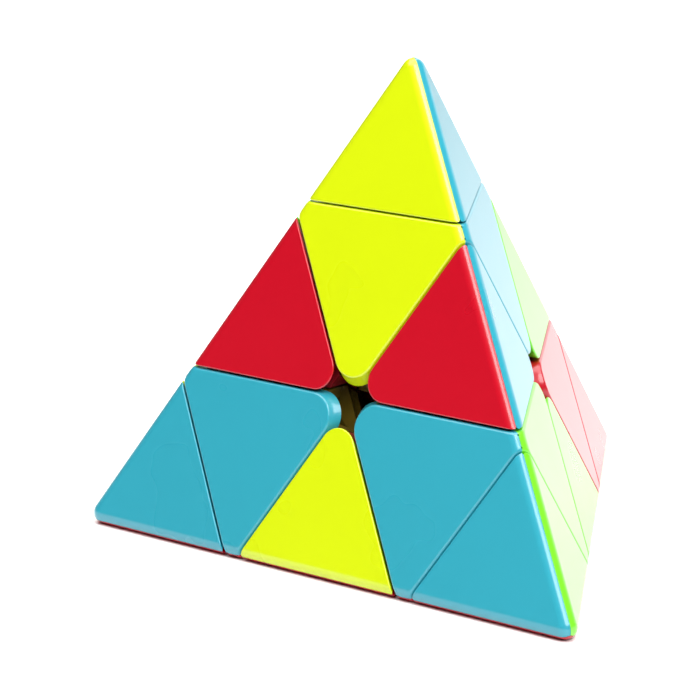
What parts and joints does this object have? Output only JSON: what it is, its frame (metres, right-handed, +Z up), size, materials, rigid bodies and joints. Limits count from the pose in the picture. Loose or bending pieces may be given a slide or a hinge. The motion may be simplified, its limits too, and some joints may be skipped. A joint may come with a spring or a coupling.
{
  "type": "pyramid twisty puzzle",
  "caption": "Four-sided pyramid twisty puzzle with turning corner layers, separately turning tips, edge pieces held under corner flanges, and a core with spring-tensioned arms.",
  "frame": {"origin": "centre of the core, where the four turning axes meet, which is also the centroid of the pyramid", "axes": "+Z up through the top corner, square to the base face; -Y towards the front face; +X along the front face's lower edge, to the right as seen from the front"},
  "size_m": [0.0958, 0.0836, 0.0789],
  "materials": {
    "yellow_plastic": "smooth moulded plastic, satin gloss",
    "red_plastic": "smooth moulded plastic, satin gloss",
    "blue_plastic": "smooth moulded plastic, satin gloss",
    "green_plastic": "smooth moulded plastic, satin gloss",
    "core_plastic": "moulded nylon, matt",
    "screw_steel": "zinc-plated steel",
    "spring_steel": "drawn spring wire"
  },
  "bodies": {
    "core": {"core": "core_plastic", "tension_screws": "screw_steel", "tension_springs": "spring_steel", "washers": "screw_steel"},
    "corner_top": {"corner_frame_top": "yellow_plastic", "corner_tile_top_front": "yellow_plastic", "corner_tile_top_right": "blue_plastic", "corner_tile_top_left": "green_plastic"},
    "corner_left": {"corner_frame_left": "yellow_plastic", "corner_tile_left_front": "blue_plastic", "corner_tile_left_left": "yellow_plastic", "corner_tile_left_base": "red_plastic"},
    "corner_right": {"corner_frame_right": "green_plastic", "corner_tile_right_front": "blue_plastic", "corner_tile_right_right": "green_plastic", "corner_tile_right_base": "red_plastic"},
    "corner_back": {"corner_frame_back": "red_plastic", "corner_tile_back_right": "red_plastic", "corner_tile_back_left": "green_plastic", "corner_tile_back_base": "yellow_plastic"},
    "tip_top": {"tip_base_top": "yellow_plastic", "tip_tile_top_front": "yellow_plastic", "tip_tile_top_right": "blue_plastic", "tip_tile_top_left": "green_plastic"},
    "tip_left": {"tip_base_left": "blue_plastic", "tip_tile_left_front": "blue_plastic", "tip_tile_left_left": "yellow_plastic", "tip_tile_left_base": "red_plastic"},
    "tip_right": {"tip_base_right": "blue_plastic", "tip_tile_right_front": "blue_plastic", "tip_tile_right_right": "green_plastic", "tip_tile_right_base": "red_plastic"},
    "tip_back": {"tip_base_back": "red_plastic", "tip_tile_back_right": "red_plastic", "tip_tile_back_left": "green_plastic", "tip_tile_back_base": "yellow_plastic"},
    "edge_top_left": {"edge_frame_top_left": "red_plastic", "edge_tile_top_left_front": "red_plastic", "edge_tile_top_left_left": "green_plastic"},
    "edge_top_right": {"edge_frame_top_right": "red_plastic", "edge_tile_top_right_front": "red_plastic", "edge_tile_top_right_right": "blue_plastic"},
    "edge_top_back": {"edge_frame_top_back": "green_plastic", "edge_tile_top_back_right": "green_plastic", "edge_tile_top_back_left": "yellow_plastic"},
    "edge_left_right": {"edge_frame_left_right": "red_plastic", "edge_tile_left_right_front": "yellow_plastic", "edge_tile_left_right_base": "red_plastic"},
    "edge_left_back": {"edge_frame_left_back": "yellow_plastic", "edge_tile_left_back_left": "yellow_plastic", "edge_tile_left_back_base": "blue_plastic"},
    "edge_right_back": {"edge_frame_right_back": "green_plastic", "edge_tile_right_back_right": "green_plastic", "edge_tile_right_back_base": "blue_plastic"}
  },
  "joints": [
    {"name": "top_layer_turn", "type": "hinge", "parent": "core", "child": "corner_top", "pos_m": [0, 0, 0], "axis": [0, 0, 1], "continuous": true},
    {"name": "left_layer_turn", "type": "hinge", "parent": "core", "child": "corner_left", "pos_m": [0, 0, 0], "axis": [-0.8165, -0.4714, -0.3333], "range_deg": [-360, 360]},
    {"name": "right_layer_turn", "type": "hinge", "parent": "core", "child": "corner_right", "pos_m": [0, 0, 0], "axis": [0.8165, -0.4714, -0.3333], "range_deg": [-360, 360]},
    {"name": "back_layer_turn", "type": "hinge", "parent": "core", "child": "corner_back", "pos_m": [0, 0, 0], "axis": [0, 0.9428, -0.3333], "range_deg": [-360, 360]},
    {"name": "top_tip_turn", "type": "hinge", "parent": "corner_top", "child": "tip_top", "pos_m": [0, 0, 0], "axis": [0, 0, 1], "continuous": true},
    {"name": "left_tip_turn", "type": "hinge", "parent": "corner_left", "child": "tip_left", "pos_m": [0, 0, 0], "axis": [-0.8165, -0.4714, -0.3333], "continuous": true},
    {"name": "right_tip_turn", "type": "hinge", "parent": "corner_right", "child": "tip_right", "pos_m": [0, 0, 0], "axis": [0.8165, -0.4714, -0.3333], "continuous": true},
    {"name": "back_tip_turn", "type": "hinge", "parent": "corner_back", "child": "tip_back", "pos_m": [0, 0, 0], "axis": [0, 0.9428, -0.3333], "continuous": true},
    {"name": "top_left_edge_follow", "type": "hinge", "parent": "corner_top", "child": "edge_top_left", "pos_m": [0, 0, 0], "axis": [-0.8165, -0.4714, -0.3333], "range_deg": [-360, 360]},
    {"name": "top_right_edge_follow", "type": "hinge", "parent": "corner_top", "child": "edge_top_right", "pos_m": [0, 0, 0], "axis": [0.8165, -0.4714, -0.3333], "range_deg": [-360, 360]},
    {"name": "top_back_edge_follow", "type": "hinge", "parent": "corner_top", "child": "edge_top_back", "pos_m": [0, 0, 0], "axis": [0, 0.9428, -0.3333], "range_deg": [-360, 360]},
    {"name": "left_right_edge_follow", "type": "hinge", "parent": "corner_left", "child": "edge_left_right", "pos_m": [0, 0, 0], "axis": [0.8165, -0.4714, -0.3333], "range_deg": [-360, 360]},
    {"name": "left_back_edge_follow", "type": "hinge", "parent": "corner_left", "child": "edge_left_back", "pos_m": [0, 0, 0], "axis": [0, 0.9428, -0.3333], "range_deg": [-360, 360]},
    {"name": "right_back_edge_follow", "type": "hinge", "parent": "corner_right", "child": "edge_right_back", "pos_m": [0, 0, 0], "axis": [0, 0.9428, -0.3333], "range_deg": [-360, 360]}
  ],
  "couplings": [
    {"joint": "top_left_edge_follow", "follows": "left_layer_turn", "ratio": 1},
    {"joint": "top_right_edge_follow", "follows": "right_layer_turn", "ratio": 1},
    {"joint": "top_back_edge_follow", "follows": "back_layer_turn", "ratio": 1},
    {"joint": "left_right_edge_follow", "follows": "right_layer_turn", "ratio": 1},
    {"joint": "left_back_edge_follow", "follows": "back_layer_turn", "ratio": 1},
    {"joint": "right_back_edge_follow", "follows": "back_layer_turn", "ratio": 1}
  ]
}
